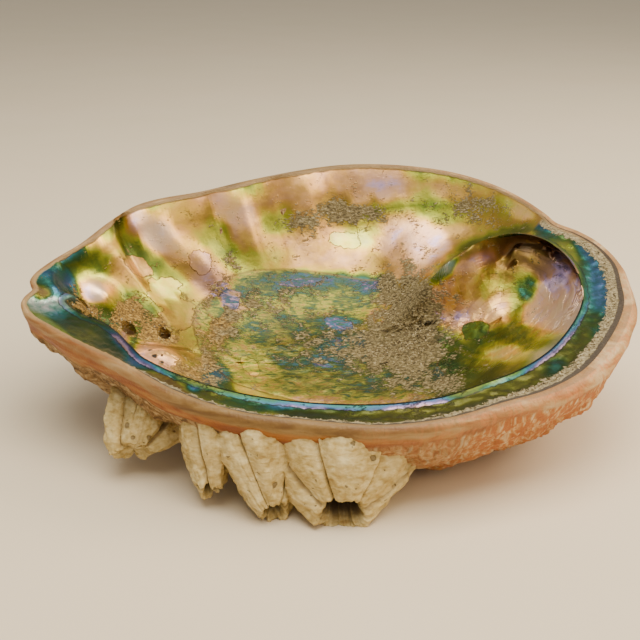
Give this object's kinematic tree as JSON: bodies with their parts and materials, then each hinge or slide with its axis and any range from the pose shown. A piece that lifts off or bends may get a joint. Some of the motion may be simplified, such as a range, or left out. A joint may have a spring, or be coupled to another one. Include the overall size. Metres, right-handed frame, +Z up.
{
  "type": "abalone shell",
  "caption": "Abalone shell lying hollow side up, with an iridescent lining, a wide inner shelf and barnacles on its crusted outside.",
  "frame": {"origin": "on the ground, under the middle of the whole shell with its barnacles", "axes": "+X along the shell's length towards the spire, +Y across it towards the thin outer lip, away from the barnacles, +Z up out of the hollow"},
  "size_m": [0.1942, 0.1548, 0.0657],
  "materials": {
    "nacre_and_crust": "glossy iridescent nacre inside, rough crust outside",
    "chalk": "chalky, dry and matte"
  },
  "bodies": {
    "root": {"shell": "nacre_and_crust", "barnacle_large": "chalk", "barnacle_middle": "chalk", "barnacle_narrow": "chalk", "barnacle_worn": "chalk"}
  },
  "joints": []
}
